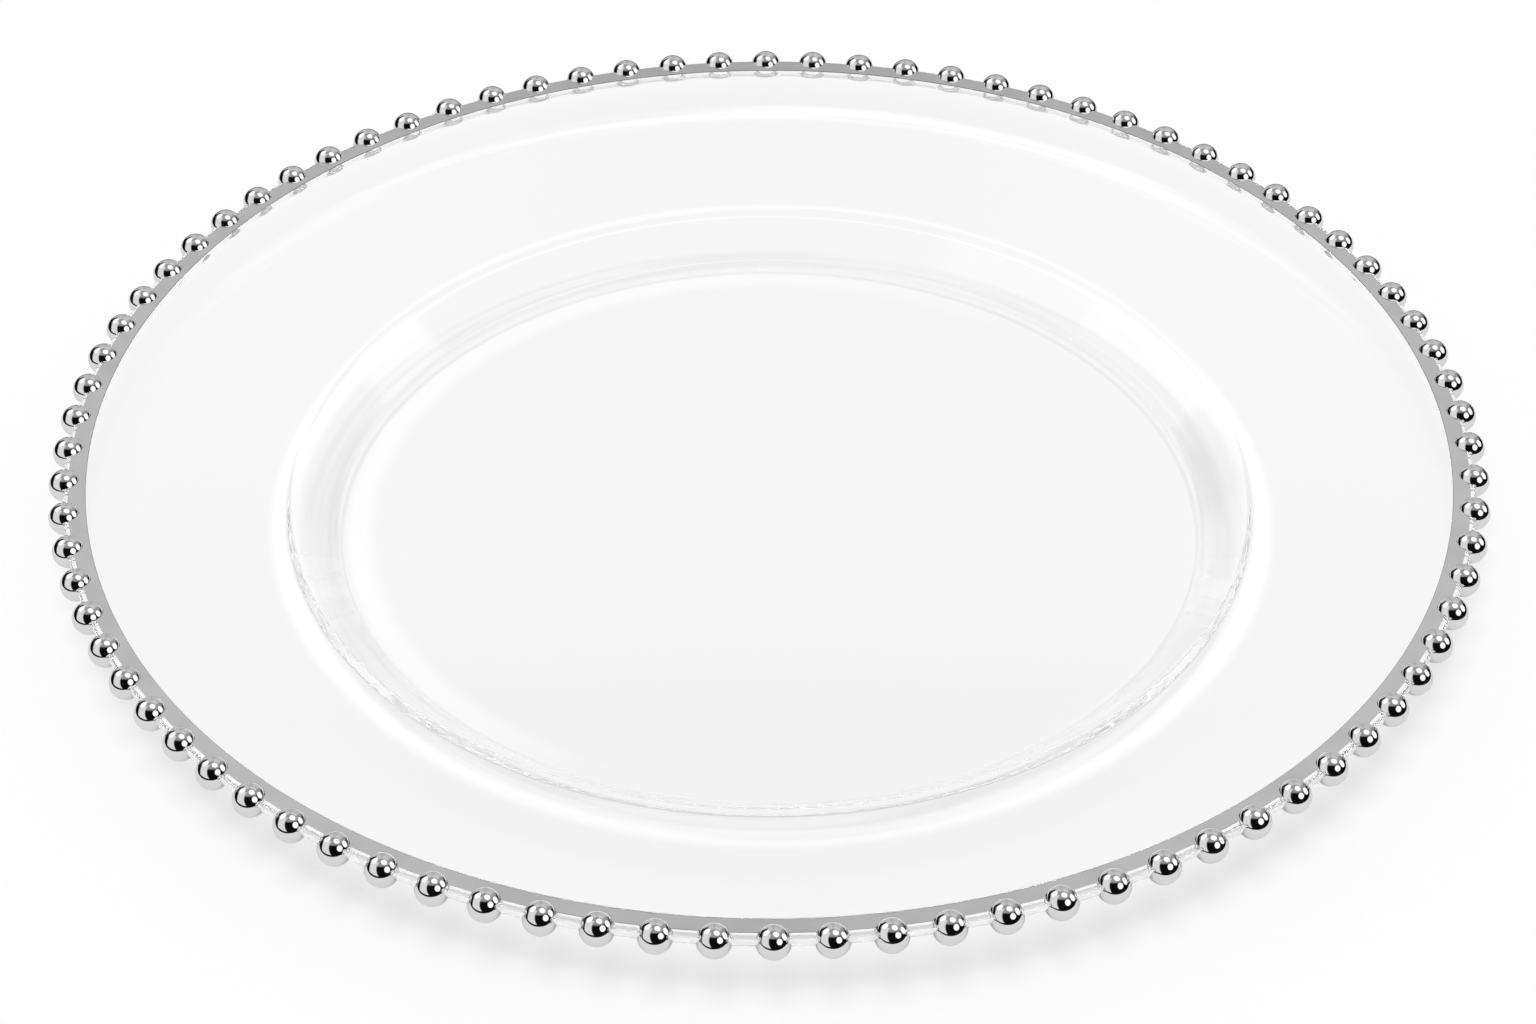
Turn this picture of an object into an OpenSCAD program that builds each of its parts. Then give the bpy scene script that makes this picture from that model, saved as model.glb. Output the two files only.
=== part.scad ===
// Clear glass charger plate with a silvered lip and a ring of silvered beads.
// The origin is the centre of the underside, +Z is up, and the plate stands on z = 0.
// Twelve o'clock is towards +Y, three o'clock towards +X.

/* [Glass] */
// Diameter of the glass across its rim edge
glass_d = 323; // [290:0.5:350]
// Height of the flat lip above the table
rim_h = 24; // [20:0.5:30]
// Thickness of the glass in the well and the flange
glass_t = 4.2; // [3:0.1:5]
// Thickness of the glass at the rim edge
edge_t = 3.2; // [2.6:0.1:4]

/* [Well] */
// Diameter of the well where its floor meets its wall
well_d = 200; // [180:1:212]
// Height of the well's wall, from floor to shoulder
step_h = 8.5; // [5:0.1:11]
// Width of the well's sloping wall, seen from above
step_w = 10.5; // [6:0.1:14]
// Radius between the well's floor and its wall
well_round = 1.5; // [1:0.1:8]
// Radius on the underside, below the foot of the wall
well_under_round = 3; // [2:0.5:20]
// Radius over the shoulder, between the wall and the flange
shoulder_round = 2; // [1:0.5:30]
// Radius on the underside, below the shoulder
shoulder_under_round = 3; // [2:0.5:40]

/* [Lip] */
// Width of the silver band
band_w = 4; // [2:0.1:6]
// Thickness of the silver coat
coat_t = 0.15; // [0.1:0.01:0.3]
// Clear lip left between the silver band and the bend into the flange
lip_margin = 0.4; // [0.2:0.1:4]
// Radius of the bend between the flange and the lip
lip_round = 4; // [2:0.5:20]
// Radius on both corners of the rim edge
edge_round = 1.2; // [0.2:0.1:1.4]

/* [Beads] */
// Number of beads in the ring
bead_count = 84; // [72:1:90]
// Diameter of a bead
bead_d = 7.5; // [6:0.1:8.5]
// How far the bead centres lie inside the rim edge
bead_in = 0.3; // [0:0.1:1.5]
// Turn of the whole ring, as a share of the pitch between two beads
bead_turn_share = -0.075; // [-0.5:0.005:0.5]

/* [Hidden] */
rim_r = glass_d/2;
well_r = well_d/2;
floor_z = glass_t;
shoulder_r = well_r + step_w;
shoulder_z = floor_z + step_h;
band_outer_r = rim_r - edge_round;
band_inner_r = band_outer_r - band_w;
lip_r = band_inner_r - lip_margin;
lip_under_z = rim_h - edge_t;
bead_ring_r = rim_r - bead_in;
bead_z = rim_h - edge_t/2;

// Slopes of the wall and of the flange, in degrees
wall_slope = atan2(step_h, step_w);
flange_slope = atan2(rim_h - shoulder_z, lip_r - shoulder_r);
// The bend on top ends before the silver band begins
lip_top_round = min(lip_round, lip_margin/tan(flange_slope/2));

// Most of a straight stretch that one fillet may use up
fillet_share = 0.45;
// Facets along a fillet of the section, and along the small rounds of the rim edge
arc_steps = 8;
edge_steps = 4;
round_fn = 240;
bead_fn = 48;

glass_colour = [0.90, 0.94, 0.94, 0.45];
silver_colour = [0.76, 0.76, 0.78];

// The hours of the clock, each of which names one arc of the ring of beads
hour_count = 12;
hours = [for (k = [0:hour_count - 1]) k == 0 ? hour_count : k];
function hour_node(hour) = str("beads_", hour, "_oclock");

function unit(v) = v/norm(v);

// Point on the underside below a corner p of the top face, where slopes a and b meet
function under(p, a, b, t) = p + t*[sin((a + b)/2), -cos((a + b)/2)]/cos((b - a)/2);

// Corner p between a and b, replaced by an arc of radius r as far as the sides allow
function corner_arc(a, p, b, r, steps) =
    let(
        u = unit(a - p),
        v = unit(b - p),
        half = acos(u*v)/2,
        tangent = min(r/tan(half), fillet_share*norm(a - p), fillet_share*norm(b - p)),
        c = p + unit(u + v)*tangent/cos(half),
        from = p + u*tangent - c,
        to = p + v*tangent - c,
        turn = atan2(cross(from, to), from*to)
    )
    [for (i = [0:steps])
        let(s = turn*i/steps)
        c + [from.x*cos(s) - from.y*sin(s), from.x*sin(s) + from.y*cos(s)]];

// Closed outline through corners [point, radius, steps]; a corner with a point alone stays sharp
function rounded(corners) =
    let(n = len(corners))
    [for (i = [0:n - 1])
        let(k = corners[i], before = corners[(i + n - 1)%n][0], after = corners[(i + 1)%n][0])
        each len(k) == 1 ? k : corner_arc(before, k[0], after, k[1], k[2])];

// Half section of the glass: flat floor, sloping wall, shoulder, rising flange and flat lip
function glass_section() =
    let(
        well = [well_r, floor_z],
        shoulder = [shoulder_r, shoulder_z],
        lip = [lip_r, rim_h],
        well_under = under(well, 0, wall_slope, glass_t),
        shoulder_under = under(shoulder, wall_slope, flange_slope, glass_t),
        lip_under = under(lip, flange_slope, 0, edge_t)
    )
    rounded([
        [[0, 0]],
        [well_under, well_under_round, arc_steps],
        [shoulder_under, shoulder_under_round, arc_steps],
        [lip_under, lip_round, arc_steps],
        [[rim_r, lip_under_z], edge_round, edge_steps],
        [[rim_r, rim_h], edge_round, edge_steps],
        [lip, lip_top_round, arc_steps],
        [shoulder, shoulder_round, arc_steps],
        [well, well_round, arc_steps],
        [[0, floor_z]]
    ]);

// Clock angle of bead i, clockwise from twelve, and the hour whose arc holds it
function clock_angle(i) = 360*(i + bead_turn_share)/bead_count;
function hour_of(i) = hours[round(hour_count*i/bead_count)%hour_count];

module bead(i) {
    a = clock_angle(i);
    translate([bead_ring_r*sin(a), bead_ring_r*cos(a), bead_z])
        sphere(d = bead_d, $fn = bead_fn);
}

// One pressed glass body, with a round seat in its edge for each bead
module glass_plate() {
    color(glass_colour)
        difference() {
            rotate_extrude($fn = round_fn) polygon(glass_section());
            for (i = [0:bead_count - 1]) bead(i);
        }
}

// Silver coat on the flat lip, open round the top of each bead
module silver_band() {
    color(silver_colour)
        difference() {
            translate([0, 0, rim_h])
                rotate_extrude($fn = round_fn)
                    translate([band_inner_r, 0]) square([band_w, coat_t]);
            for (i = [0:bead_count - 1]) bead(i);
        }
}

// The silvered beads in the arc round one hour of the clock
module beads(hour) {
    color(silver_colour)
        for (i = [0:bead_count - 1])
            if (hour_of(i) == hour) bead(i);
}

glass_plate();
silver_band();
for (h = hours)
    beads(h);
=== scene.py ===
import math

import bpy
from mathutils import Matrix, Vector


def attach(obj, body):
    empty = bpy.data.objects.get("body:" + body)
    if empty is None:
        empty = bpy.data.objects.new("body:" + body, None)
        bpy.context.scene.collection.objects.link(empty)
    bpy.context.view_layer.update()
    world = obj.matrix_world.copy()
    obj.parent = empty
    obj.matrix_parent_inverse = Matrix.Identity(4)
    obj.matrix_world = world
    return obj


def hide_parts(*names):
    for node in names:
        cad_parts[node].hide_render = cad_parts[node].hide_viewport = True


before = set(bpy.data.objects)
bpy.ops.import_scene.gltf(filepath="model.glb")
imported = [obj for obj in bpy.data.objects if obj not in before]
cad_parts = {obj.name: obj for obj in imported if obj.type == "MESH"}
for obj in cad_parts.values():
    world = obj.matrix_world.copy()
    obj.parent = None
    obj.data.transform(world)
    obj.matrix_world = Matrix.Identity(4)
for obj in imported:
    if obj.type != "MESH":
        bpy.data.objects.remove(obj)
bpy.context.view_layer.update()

MM = 0.001

WHITE = (1, 1, 1, 1)
# Divides light that hasn't bounced yet from light that has bounced once or more
HALF_BOUNCE = 0.5

# Sizes of the glass, as the part has them
RIM_R = 161.5 * MM
RIM_H = 24.0 * MM
GLASS_T = 4.2 * MM
EDGE_T = 3.2 * MM
WELL_R = 100.0 * MM
STEP_H = 8.5 * MM
STEP_W = 10.5 * MM
WELL_ROUND = 1.5 * MM
WELL_ROUND_UNDER = 3.0 * MM
SHOULDER_ROUND = 2.0 * MM
SHOULDER_ROUND_UNDER = 3.0 * MM
LIP_MARGIN = 0.4 * MM
LIP_ROUND = 4.0 * MM
EDGE_ROUND = 1.2 * MM
# Most of a straight stretch that one fillet may use up
FILLET_SHARE = 0.45

# Sizes of the silver on the lip; it sinks a little into the glass so that no gap shows
BAND_W = 4.0 * MM
COAT_T = 0.15 * MM
COAT_ROUND = 0.06 * MM
COAT_SINK = 0.03 * MM
BAND_OUTER_R = RIM_R - EDGE_ROUND
BAND_INNER_R = BAND_OUTER_R - BAND_W

# Fineness of the turned pieces; an outline's point nearer to the axis than AXIS_R lies on it
ARC_STEPS = 16
EDGE_STEPS = 10
COAT_STEPS = 3
TURN_STEPS = 540
AXIS_R = 0.01 * MM

# The hours of the clock, each of which names one arc of the ring of beads
HOURS = range(1, 13)

# Camera, worked out from the two edges of the silver band
LENS = 105.0
SENSOR = 36.0
CAMERA_DISTANCE = 1031.5 * MM
CAMERA_ELEVATION = math.radians(38.04)
AIM = Vector((-0.29, -24.55, 24.0)) * MM
NEAREST_SEEN = 10 * MM
FARTHEST_SEEN = 30.0

# Clear glass, and its waves, whose scale is waves per metre
GLASS_COLOUR = (0.986, 0.986, 0.986, 1)
GLASS_IOR = 1.52
WAVE_SCALE = 22.0
WAVE_DETAIL = 1.0
WAVE_ROUGHNESS = 0.4
WAVE_STRENGTH = 0.006
WAVE_HEIGHT = 2 * MM
# What the lamps keep of their light on the way through the plate
LAMP_TINT = (0.96, 0.963, 0.963, 1)
# The ground seam round the rim's edge: its width, and how matt it is
SEAM_W = 0.25 * MM
GROUND_SHARE = 0.8
MATT_GLASS_COLOUR = (0.97, 0.975, 0.975, 1)
# Turns inside the glass over which its faint haze takes over from the clear view
SCATTER_BOUNCES = (3.0, 7.0)
# Light runs a long way inside the glass of the rim before it leaves it
BOUNCES = 32

# Looks of the silver, where grain is how far the grain spreads the roughness
BAND_LOOK = {
    "colour": (0.92, 0.92, 0.93, 1),
    "roughness": 0.10,
    "grain": 0.06,
    "grain_scale": 2500.0,
    "bump_strength": 0.1,
}
BEAD_LOOK = {
    "colour": (0.95, 0.95, 0.96, 1),
    "roughness": 0.05,
    "grain": 0.02,
    "grain_scale": 900.0,
    "bump_strength": 0.02,
}
GRAIN_DETAIL = 3.0
GRAIN_HEIGHT = 0.05 * MM
# Darker places of the band: the width over which it darkens towards its inner edge, and the clouds all over
# it where the coat is thinner
DARK_SILVER_COLOUR = (0.34, 0.34, 0.35, 1)
EDGE_DARKENING_W = 0.2 * MM
CLOUD_SCALE = 75.0
CLOUD_DETAIL = 2.0
CLOUD_RANGE = (0.35, 0.7)
CLOUD_SHARE = 0.13

# The white table, and the share of its own glow in what the camera sees of it
FLOOR_R = 6.0
FLOOR_DROP = 0.02 * MM
PAPER_COLOUR = (0.96, 0.96, 0.96, 1)
MIRRORED_PAPER_COLOUR = (0.70, 0.70, 0.70, 1)
FLOOR_GLOW = 1.0
FLOOR_GLOW_SHARE = 0.58
FLOOR_GLOW_SHARE_UNDER_GLASS = 0.95
# The dark room begins where the white table ends
TABLE_R = 270 * MM
ROOM_COLOUR = (0.004, 0.004, 0.004, 1)
ROOM_STEPS = 96

# Soft rings of painted light and shade on the table, in place of the caustics and shadows that the plate
# lays on it, each with its centre, the radii where it fades in and out, and its strength. A name with
# FRONT, BACK or LEFT says where the ring before it is at full strength, as the two places between which it
# fades in
SHOULDER_LIGHT = ((0.5 * MM, 5.5 * MM), (110.5 * MM, 113.8 * MM, 115.2 * MM, 118.5 * MM), 0.12)
SHOULDER_LIGHT_FRONT = (95 * MM, 40 * MM)
REAR_SHOULDER_LIGHT = ((0, 15.5 * MM), (108.5 * MM, 110.5 * MM, 111.5 * MM, 113.5 * MM), 0.08)
WELL_LIGHT = ((0, 0), (90.5 * MM, 94.5 * MM, 97 * MM, 99.3 * MM), 0.065)
WELL_LIGHT_BACK = (-95 * MM, -70 * MM)
WELL_LIGHT_LEFT = (90 * MM, -20 * MM)
WELL_SHADE = ((0, 0), (0, 1 * MM, 97 * MM, 99 * MM), -0.05)
WELL_SHADE_FRONT = (-20 * MM, -90 * MM)
FLANGE_LIGHT = ((0, 0), (119 * MM, 123 * MM, 148 * MM, 154 * MM), 0.03)
FLANGE_LIGHT_FRONT = (-60 * MM, -120 * MM)
# A painted contact shadow: a thin dark ring where the glass foot meets the table
FOOT_CONTACT_SHADOW = ((0, -1.8 * MM), (98.7 * MM, 99.3 * MM, 99.7 * MM, 100.3 * MM), -0.10)
WALL_SHADE = ((0, 0), (99.5 * MM, 101.5 * MM, 109 * MM, 111 * MM), -0.11)
LIP_LIGHT = ((0, 14.5 * MM), (150.5 * MM, 154 * MM, 156.5 * MM, 160 * MM), 0.14)
LIP_LIGHT_BACK = (40 * MM, 170 * MM)
LIP_SHADE = ((0, 14 * MM), (157 * MM, 160 * MM, 166 * MM, 170 * MM), -0.02)
# How fast the streaks in the rings change across the rings and along them, per metre
STREAKS_ACROSS = 420.0
STREAKS_ALONG = 16.0
STREAK_DETAIL = 2.0
STREAK_RANGE = (0.3, 0.75)

# The studio as the silver and the glass show it: light levels where 1 is white, and directions
WORLD_LEVEL = 0.5
DARK_LEVEL = 0.004
CEILING_LEVEL = 0.30
CEILING_FADE = (0.5, 0.75)
CEILING_LEAN = 0.6
# How far the white walls of the studio lighten what is seen through the glass
GLASS_LIFT = 0.45
# Cards: direction, direction of the width, half width, half height, and softness of the edge
BACK_CARD = ((0, 0.87, 0.49), (1, 0, 0), 0.54, 0.5, 0.06)
BACK_CARD_LEVEL = 0.42
BACK_CARD_TOP_FADE = (0.5, 0.75)
BACK_CARD_TOP_LIFT = 0.08
BACK_CARD_SIDE_FADE = (0.0, 0.16)
BACK_CARD_SIDE_LIFT = 0.09
BLACK_CARD = ((-0.62, 0.70, 0.33), (0.70, 0.117, 0.705), 0.28, 0.13, 0.05)
BLACK_CARD_LEVEL = 0.0
LEFT_CARD = ((-0.836, -0.393, 0.385), (0.55, -0.60, 0.58), 0.42, 0.72, 0.06)
LEFT_CARD_LEVEL = 0.72
# Round lamps: direction and angular radius
SOFTBOXES = (
    ((0.252, 0.071, 0.964), 0.31),
    ((-0.608, 0.379, 0.698), 0.31),
    ((0.898, 0.174, 0.405), 0.31),
    ((0.623, -0.559, 0.547), 0.33),
)
SOFTBOX_LEVEL = 1.1
SOFTBOX_FADE = 0.015
KEY_SPREAD = math.radians(24)
KEY_STRENGTH = 1.85
KEY_DIRECTION = Vector((-0.05, -0.44, 0.90))


class Value:
    """A shader socket that Python's own arithmetic adds Math nodes to."""

    def __init__(self, tree, socket):
        self.tree = tree
        self.socket = socket

    def math(self, operation, first, second=0.0):
        return self.tree.add("ShaderNodeMath", {"operation": operation}, {0: first, 1: second}).out()

    def __add__(self, other):
        return self.math("ADD", self, other)

    def __sub__(self, other):
        return self.math("SUBTRACT", self, other)

    def __rsub__(self, other):
        return self.math("SUBTRACT", other, self)

    def __mul__(self, other):
        return self.math("MULTIPLY", self, other)

    def __lt__(self, other):
        return self.math("LESS_THAN", self, other)

    def __gt__(self, other):
        return self.math("GREATER_THAN", self, other)

    def larger(self, other):
        return self.math("MAXIMUM", self, other)

    def absolute(self):
        return self.math("ABSOLUTE", self)

    def root(self):
        return self.math("SQRT", self)

    def ramp(self, low, high):
        """A soft step from 0 at low to 1 at high."""
        settings = {"interpolation_type": "SMOOTHSTEP"}
        sockets = {"Value": self, "From Min": low, "From Max": high}
        return self.tree.add("ShaderNodeMapRange", settings, sockets).out("Result")


class Node:
    """A node in a tree, with its outputs as values."""

    def __init__(self, tree, node):
        self.tree = tree
        self.node = node

    def out(self, name=0):
        return Value(self.tree, self.node.outputs[name])


class Tree:
    """The node tree of a material or of the world."""

    def __init__(self, owner, output):
        owner.use_nodes = True
        self.nodes = owner.node_tree.nodes
        self.links = owner.node_tree.links
        self.nodes.clear()
        self.output = self.nodes.new(output)

    def add(self, kind, settings=None, sockets=None):
        """A node of this kind, with its settings made first and then the values or links of its sockets."""
        node = self.nodes.new(kind)
        for name, value in (settings or {}).items():
            setattr(node, name, value)
        for name, value in (sockets or {}).items():
            self.feed(node.inputs[name], value)
        return Node(self, node)

    def feed(self, socket, value):
        if isinstance(value, Value):
            self.links.new(value.socket, socket)
        else:
            socket.default_value = value

    def place(self):
        """The place on the object, in metres from the frame's origin."""
        return self.add("ShaderNodeTexCoord").out("Object")

    def axes(self, vector, names):
        parts = self.add("ShaderNodeSeparateXYZ", {}, {0: vector})
        return [parts.out(name) for name in names]

    def dot(self, vector, direction):
        settings = {"operation": "DOT_PRODUCT"}
        return self.add("ShaderNodeVectorMath", settings, {0: vector, 1: direction}).out("Value")

    def noise(self, place, scale, detail, roughness=0.5):
        sockets = {"Vector": place, "Scale": scale, "Detail": detail, "Roughness": roughness}
        return self.add("ShaderNodeTexNoise", {}, sockets).out()

    def bump(self, height, strength, distance):
        sockets = {"Height": height, "Strength": strength, "Distance": distance}
        return self.add("ShaderNodeBump", {}, sockets).out()

    def matt(self, colour):
        return self.add("ShaderNodeBsdfDiffuse", {}, {"Color": colour}).out()

    def mix(self, share, first, second):
        """A shader that goes over from the first to the second as share goes from 0 to 1."""
        return self.add("ShaderNodeMixShader", {}, {0: share, 1: first, 2: second}).out()

    def surface(self, shader):
        self.links.new(shader.socket, self.output.inputs["Surface"])


def before_matt(path):
    """1 for light that hasn't met a matt surface yet, and 0 after that."""
    return path.out("Diffuse Depth") < HALF_BOUNCE


def unit(v):
    return v / v.length


def corner_arc(before, corner, after, radius, steps):
    """Points and outward normals of the arc that rounds an outline's corner, as far as its sides allow."""
    u = unit(before - corner)
    v = unit(after - corner)
    half = math.acos(u.dot(v)) / 2
    tangent = min(
        radius / math.tan(half),
        FILLET_SHARE * (before - corner).length,
        FILLET_SHARE * (after - corner).length,
    )
    centre = corner + unit(u + v) * tangent / math.cos(half)
    start = corner + u * tangent - centre
    end = corner + v * tangent - centre
    turn = math.atan2(start.x * end.y - start.y * end.x, start.dot(end))
    side = 1 if turn > 0 else -1
    points = []
    for i in range(steps + 1):
        s = turn * i / steps
        arm = Vector((
            start.x * math.cos(s) - start.y * math.sin(s),
            start.x * math.sin(s) + start.y * math.cos(s),
        ))
        points.append((centre + arm, unit(arm) * side))
    return points


def rounded(corners):
    """The outline through corners (distance from the axis, height, round, steps), from underside to top."""
    places = [Vector(c[:2]) for c in corners]
    outline = [(places[0], Vector((0, -1)))]
    for i in range(1, len(corners) - 1):
        outline += corner_arc(places[i - 1], places[i], places[i + 1], corners[i][2], corners[i][3])
    outline.append((places[-1], Vector((0, 1))))
    return outline


def add_to_scene(thing):
    bpy.context.scene.collection.objects.link(thing)


def turned(name, outline, closed):
    """A mesh turned about the upright axis from an outline of points with normals, which it keeps."""
    points, normals, rings, faces = [], [], [], []
    for place, normal in outline:
        ring = []
        count = 1 if place.x < AXIS_R else TURN_STEPS
        for k in range(count):
            a = 2 * math.pi * k / TURN_STEPS
            ring.append(len(points))
            points.append((place.x * math.sin(a), -place.x * math.cos(a), place.y))
            normals.append((normal.x * math.sin(a), -normal.x * math.cos(a), normal.y))
        rings.append(ring)
    pairs = list(zip(rings, rings[1:]))
    if closed:
        pairs.append((rings[-1], rings[0]))
    for lower, upper in pairs:
        for k in range(TURN_STEPS):
            n = (k + 1) % TURN_STEPS
            low_side = [lower[k % len(lower)], lower[n % len(lower)]]
            high_side = [upper[n % len(upper)], upper[k % len(upper)]]
            faces.append(list(dict.fromkeys(low_side + high_side)))
    mesh = bpy.data.meshes.new(name)
    mesh.from_pydata(points, [], faces)
    mesh.shade_smooth()
    mesh.normals_split_custom_set_from_vertices(normals)
    piece = bpy.data.objects.new(name, mesh)
    add_to_scene(piece)
    return piece


def dress(piece, material):
    piece.data.materials.clear()
    piece.data.materials.append(material)


def glass_outline():
    """Half section of the glass: flat floor, sloping wall, shoulder, rising flange and flat lip."""
    shoulder = Vector((WELL_R + STEP_W, GLASS_T + STEP_H))
    lip_r = BAND_INNER_R - LIP_MARGIN
    under_h = RIM_H - EDGE_T
    wall_slope = math.atan2(STEP_H, STEP_W)
    flange_slope = math.atan2(RIM_H - shoulder.y, lip_r - shoulder.x)
    half_bend = math.tan(flange_slope / 2)

    def under(r, h, a, b):
        """The point of the underside below a corner where slopes a and b meet."""
        down = GLASS_T / math.cos((b - a) / 2)
        return r + down * math.sin((a + b) / 2), h - down * math.cos((a + b) / 2)

    well_under = under(WELL_R, GLASS_T, 0, wall_slope)
    shoulder_under = under(shoulder.x, shoulder.y, wall_slope, flange_slope)
    return rounded([
        (0, 0),
        (*well_under, WELL_ROUND_UNDER, ARC_STEPS),
        (*shoulder_under, SHOULDER_ROUND_UNDER, ARC_STEPS),
        (lip_r + EDGE_T * half_bend, under_h, LIP_ROUND, ARC_STEPS),
        (RIM_R, under_h, EDGE_ROUND, EDGE_STEPS),
        (RIM_R, RIM_H, EDGE_ROUND, EDGE_STEPS),
        (lip_r, RIM_H, min(LIP_ROUND, LIP_MARGIN / half_bend), ARC_STEPS),
        (*shoulder, SHOULDER_ROUND, ARC_STEPS),
        (WELL_R, GLASS_T, WELL_ROUND, ARC_STEPS),
        (0, GLASS_T),
    ])


def band_outline():
    """Section of the silver coat on the lip, with its corners rounded."""
    low, high = RIM_H - COAT_SINK, RIM_H + COAT_T
    corners = [
        Vector((BAND_INNER_R, low)),
        Vector((BAND_OUTER_R, low)),
        Vector((BAND_OUTER_R, high)),
        Vector((BAND_INNER_R, high)),
    ]
    outline = []
    for i, corner in enumerate(corners):
        outline += corner_arc(corners[i - 1], corner, corners[(i + 1) % 4], COAT_ROUND, COAT_STEPS)
    return outline


def clear_glass():
    """Clear pressed glass: faintly wavy, and open to the lamps so that what is below it stays lit."""
    material = bpy.data.materials.new("clear pressed glass")
    tree = Tree(material, "ShaderNodeOutputMaterial")
    path = tree.add("ShaderNodeLightPath")
    place = tree.place()
    waves = tree.noise(place, WAVE_SCALE, WAVE_DETAIL, WAVE_ROUGHNESS)
    clear = tree.add("ShaderNodeBsdfPrincipled", {}, {
        "Base Color": GLASS_COLOUR,
        "Roughness": 0.0,
        "IOR": GLASS_IOR,
        "Transmission Weight": 1.0,
        "Normal": tree.bump(waves, WAVE_STRENGTH, WAVE_HEIGHT),
    })
    x, y, z = tree.axes(place, "XYZ")
    outermost = (x * x + y * y).ramp((RIM_R - SEAM_W) ** 2, RIM_R ** 2)
    seam = outermost * z.ramp(RIM_H, RIM_H - EDGE_ROUND) * GROUND_SHARE
    haze = path.out("Glossy Depth").ramp(*SCATTER_BOUNCES)
    seamed = tree.mix(seam.larger(haze), clear.out(), tree.matt(MATT_GLASS_COLOUR))
    open_to_lamps = tree.add("ShaderNodeBsdfTransparent", {}, {"Color": LAMP_TINT})
    tree.surface(tree.mix(path.out("Is Shadow Ray"), seamed, open_to_lamps.out()))
    return material


def with_dark_places(tree, place, colour):
    """The band's colour, darker along its inner edge, and faintly in clouds where the coat is thinner."""
    x, y = tree.axes(place, "XY")
    # The band darkens towards its inner edge
    edge = (x * x + y * y).ramp((BAND_INNER_R + EDGE_DARKENING_W) ** 2, BAND_INNER_R ** 2)
    clouds = tree.noise(place, CLOUD_SCALE, CLOUD_DETAIL).ramp(*CLOUD_RANGE) * CLOUD_SHARE
    # A Mix node of colours has its factor at 0, its colours at 6 and 7, and its result at 2
    sockets = {0: edge.larger(clouds), 6: colour, 7: DARK_SILVER_COLOUR}
    return tree.add("ShaderNodeMix", {"data_type": "RGBA"}, sockets).out(2)


def silver(name, look, has_dark_places):
    """Silver with a fine grain in its gloss."""
    material = bpy.data.materials.new(name)
    tree = Tree(material, "ShaderNodeOutputMaterial")
    place = tree.place()
    grains = tree.noise(place, look["grain_scale"], GRAIN_DETAIL)
    colour = look["colour"]
    if has_dark_places:
        colour = with_dark_places(tree, place, colour)
    shine = tree.add("ShaderNodeBsdfPrincipled", {}, {
        "Base Color": colour,
        "Metallic": 1.0,
        "Roughness": (grains - 0.5) * look["grain"] + look["roughness"],
        "Normal": tree.bump(grains, look["bump_strength"], GRAIN_HEIGHT),
    })
    tree.surface(shine.out())
    return material


def sheet(name, corners, faces, material):
    """A piece of the stage, made of flat faces."""
    mesh = bpy.data.meshes.new(name)
    mesh.from_pydata(corners, [], faces)
    mesh.materials.append(material)
    piece = bpy.data.objects.new(name, mesh)
    add_to_scene(piece)
    return piece


def ring(x, y, centre, fades, strength):
    """A soft ring of this strength, which fades in and out between the radii in fades."""
    dx = x - centre[0]
    dy = y - centre[1]
    across = dx * dx + dy * dy
    low, full, full_end, end = (r * r for r in fades)
    return across.ramp(low, full) * across.ramp(end, full_end) * strength


def streaks(tree, x, y):
    """Streaks that run along the painted rings of light and shade on the table."""
    radius = (x * x + y * y).root()
    sockets = {0: radius * STREAKS_ACROSS, 1: x * STREAKS_ALONG, 2: y * STREAKS_ALONG}
    along = tree.add("ShaderNodeCombineXYZ", {}, sockets).out()
    return tree.noise(along, 1.0, STREAK_DETAIL).ramp(*STREAK_RANGE)


def painted_light_and_shade(tree):
    """Painted light and shade on the table below the plate, as a share of the table's glow: rings that
    stand in for its caustics and shadows.
    """
    x, y = tree.axes(tree.place(), "XY")
    front = y.ramp(*SHOULDER_LIGHT_FRONT)
    well_light = y.ramp(*WELL_LIGHT_BACK) * x.ramp(*WELL_LIGHT_LEFT)
    cast = ring(x, y, *SHOULDER_LIGHT) * front
    cast += ring(x, y, *REAR_SHOULDER_LIGHT) * (1 - front)
    cast += ring(x, y, *FOOT_CONTACT_SHADOW) + ring(x, y, *LIP_SHADE)
    cast += ring(x, y, *WELL_LIGHT) * well_light
    cast += ring(x, y, *WELL_SHADE) * y.ramp(*WELL_SHADE_FRONT)
    cast += ring(x, y, *FLANGE_LIGHT) * y.ramp(*FLANGE_LIGHT_FRONT)
    streaked = ring(x, y, *WALL_SHADE) + ring(x, y, *LIP_LIGHT) * y.ramp(*LIP_LIGHT_BACK)
    return cast + streaked * streaks(tree, x, y)


def white_table():
    """White to the eye and through glass, still open to the plate's shadow, and dimmer in a mirror."""
    material = bpy.data.materials.new("white table")
    tree = Tree(material, "ShaderNodeOutputMaterial")
    path = tree.add("ShaderNodeLightPath")
    through = path.out("Is Transmission Ray")
    mirrored = path.out("Is Glossy Ray") * (1 - through)
    first = before_matt(path)
    # Only the view through the glass shows the painted rings of light and shade in the table's glow
    strength = (through * painted_light_and_shade(tree) + 1) * FLOOR_GLOW
    glow = tree.add("ShaderNodeEmission", {}, {"Color": WHITE, "Strength": strength})
    seen = path.out("Is Camera Ray") * FLOOR_GLOW_SHARE
    seen_through = through * FLOOR_GLOW_SHARE_UNDER_GLASS
    lit = tree.mix((seen + seen_through) * first, tree.matt(PAPER_COLOUR), glow.out())
    tree.surface(tree.mix(mirrored * first, lit, tree.matt(MIRRORED_PAPER_COLOUR)))
    return material


def white_floor():
    """The white table that the plate stands on."""
    r = FLOOR_R
    corners = [(-r, -r, 0), (r, -r, 0), (r, r, 0), (-r, r, 0)]
    floor = sheet("floor", corners, [(0, 1, 2, 3)], white_table())
    floor.location.z = -FLOOR_DROP


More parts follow.
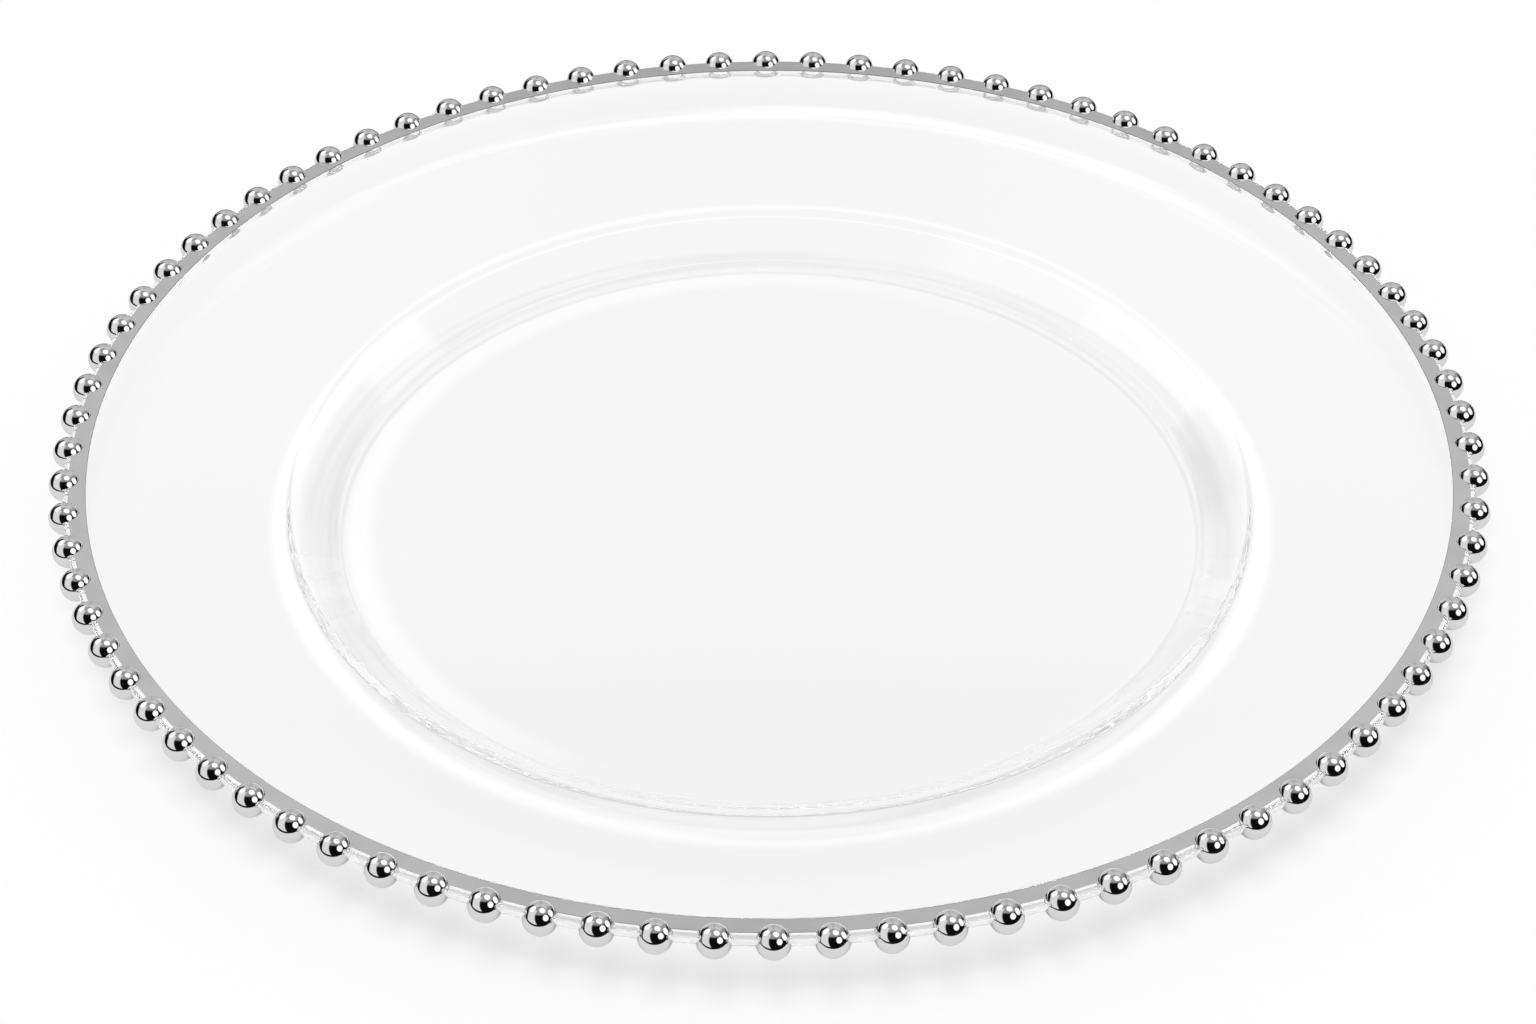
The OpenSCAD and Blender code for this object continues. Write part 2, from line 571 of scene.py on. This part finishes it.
def dark_surround():
    """The dark room round the white table, which only the silver and the gloss of the glass show."""
    material = bpy.data.materials.new("dark room")
    tree = Tree(material, "ShaderNodeOutputMaterial")
    tree.surface(tree.matt(ROOM_COLOUR))
    corners, faces = [], []
    for k in range(ROOM_STEPS):
        a = 2 * math.pi * k / ROOM_STEPS
        corners += [(r * math.sin(a), r * math.cos(a), 0) for r in (TABLE_R, FLOOR_R)]
        n = (k + 1) % ROOM_STEPS
        faces.append((2 * k, 2 * k + 1, 2 * n + 1, 2 * n))
    room = sheet("dark_surround", corners, faces, material)
    room.visible_camera = False
    room.visible_diffuse = False
    room.visible_transmission = False
    room.visible_shadow = False


def with_card(tree, way, picture, level, card):
    """The studio's picture with a soft-edged card of this level hung in it."""
    aim, across, half_w, half_h, fade = card
    aim = unit(Vector(aim))
    along_w = unit(Vector(across) - aim * aim.dot(Vector(across)))
    along_h = aim.cross(along_w)
    w = tree.dot(way, along_w).absolute()
    h = tree.dot(way, along_h).absolute()
    mask = w.ramp(half_w + fade, half_w - fade) * h.ramp(half_h + fade, half_h - fade)
    mask = mask * (tree.dot(way, aim) > 0)
    return picture + (level - picture) * mask


def with_softbox(tree, way, picture, aim, radius):
    """The studio's picture with a round soft-edged lamp hung in it."""
    near = tree.dot(way, unit(Vector(aim)))
    mask = near.ramp(math.cos(radius + SOFTBOX_FADE), math.cos(radius - SOFTBOX_FADE))
    return picture + (SOFTBOX_LEVEL - picture) * mask


def studio_picture(tree):
    """Light level of the studio in each direction: grey above, dark low down, with its cards and lamps."""
    way = tree.add("ShaderNodeTexCoord").out("Generated")
    side, back, height = tree.axes(way, "XYZ")
    picture = (height + back * CEILING_LEAN).ramp(*CEILING_FADE) * CEILING_LEVEL + DARK_LEVEL
    top = height.ramp(*BACK_CARD_TOP_FADE) * BACK_CARD_TOP_LIFT
    sides = side.absolute().ramp(*BACK_CARD_SIDE_FADE) * BACK_CARD_SIDE_LIFT
    picture = with_card(tree, way, picture, top + sides + BACK_CARD_LEVEL, BACK_CARD)
    picture = with_card(tree, way, picture, BLACK_CARD_LEVEL, BLACK_CARD)
    picture = with_card(tree, way, picture, LEFT_CARD_LEVEL, LEFT_CARD)
    for aim, radius in SOFTBOXES:
        picture = with_softbox(tree, way, picture, aim, radius)
    return picture


def studio_world():
    """Even light for matt surfaces, and the studio's picture for silver and glass."""
    world = bpy.data.worlds.new("studio")
    bpy.context.scene.world = world
    world.cycles.sampling_method = "NONE"
    tree = Tree(world, "ShaderNodeOutputWorld")
    path = tree.add("ShaderNodeLightPath")
    through = path.out("Is Transmission Ray")
    shown = path.out("Is Glossy Ray").larger(through) * before_matt(path)
    picture = studio_picture(tree)
    picture = picture + (1 - picture) * through * GLASS_LIFT
    plain = path.out("Is Camera Ray") * (1 - WORLD_LEVEL) + WORLD_LEVEL
    strength = shown * picture + (1 - shown) * plain
    tree.surface(tree.add("ShaderNodeBackground", {}, {"Color": WHITE, "Strength": strength}).out())


def key_lamp():
    """The large soft lamp that lays the shadow of the rim under the plate."""
    data = bpy.data.lights.new("key lamp", "SUN")
    data.angle = KEY_SPREAD
    data.energy = KEY_STRENGTH
    data.cycles.use_multiple_importance_sampling = False
    lamp = bpy.data.objects.new("key lamp", data)
    lamp.rotation_mode = "QUATERNION"
    lamp.rotation_quaternion = (-KEY_DIRECTION).to_track_quat("-Z", "Y")
    lamp.visible_glossy = False
    lamp.visible_transmission = False
    add_to_scene(lamp)


def camera():
    """The camera, which looks down on the plate from the front."""
    data = bpy.data.cameras.new("camera")
    data.lens = LENS
    data.sensor_width = SENSOR
    data.clip_start = NEAREST_SEEN
    data.clip_end = FARTHEST_SEEN
    forward = CAMERA_DISTANCE * math.cos(CAMERA_ELEVATION)
    rise = CAMERA_DISTANCE * math.sin(CAMERA_ELEVATION)
    eye = bpy.data.objects.new("camera", data)
    eye.location = (0, -forward, RIM_H + rise)
    eye.rotation_mode = "QUATERNION"
    eye.rotation_quaternion = (AIM - eye.location).to_track_quat("-Z", "Y")
    add_to_scene(eye)
    bpy.context.scene.camera = eye


def glass_plate():
    """The glass, turned finer than the CAD solid, since clear glass shows every facet."""
    glass = turned("glass_body", glass_outline(), closed=False)
    dress(glass, clear_glass())
    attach(glass, "root")
    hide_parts("glass_plate")


def silver_band():
    """The silver on the lip, turned as fine as the glass below it."""
    band = turned("silver_lip_band", band_outline(), closed=True)
    dress(band, silver("satin silver band", BAND_LOOK, True))
    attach(band, "root")
    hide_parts("silver_band")


def beads():
    """The ring of beads, which are the CAD solids in bright silver."""
    bead_silver = silver("bright bead silver", BEAD_LOOK, False)
    for hour in HOURS:
        dress(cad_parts[f"beads_{hour}_oclock"], bead_silver)


camera()
white_floor()
studio_world()
dark_surround()
key_lamp()
glass_plate()
silver_band()
beads()

bpy.context.scene.view_settings.view_transform = "Standard"
bpy.context.scene.cycles.max_bounces = BOUNCES
bpy.context.scene.cycles.glossy_bounces = BOUNCES
bpy.context.scene.cycles.transmission_bounces = BOUNCES
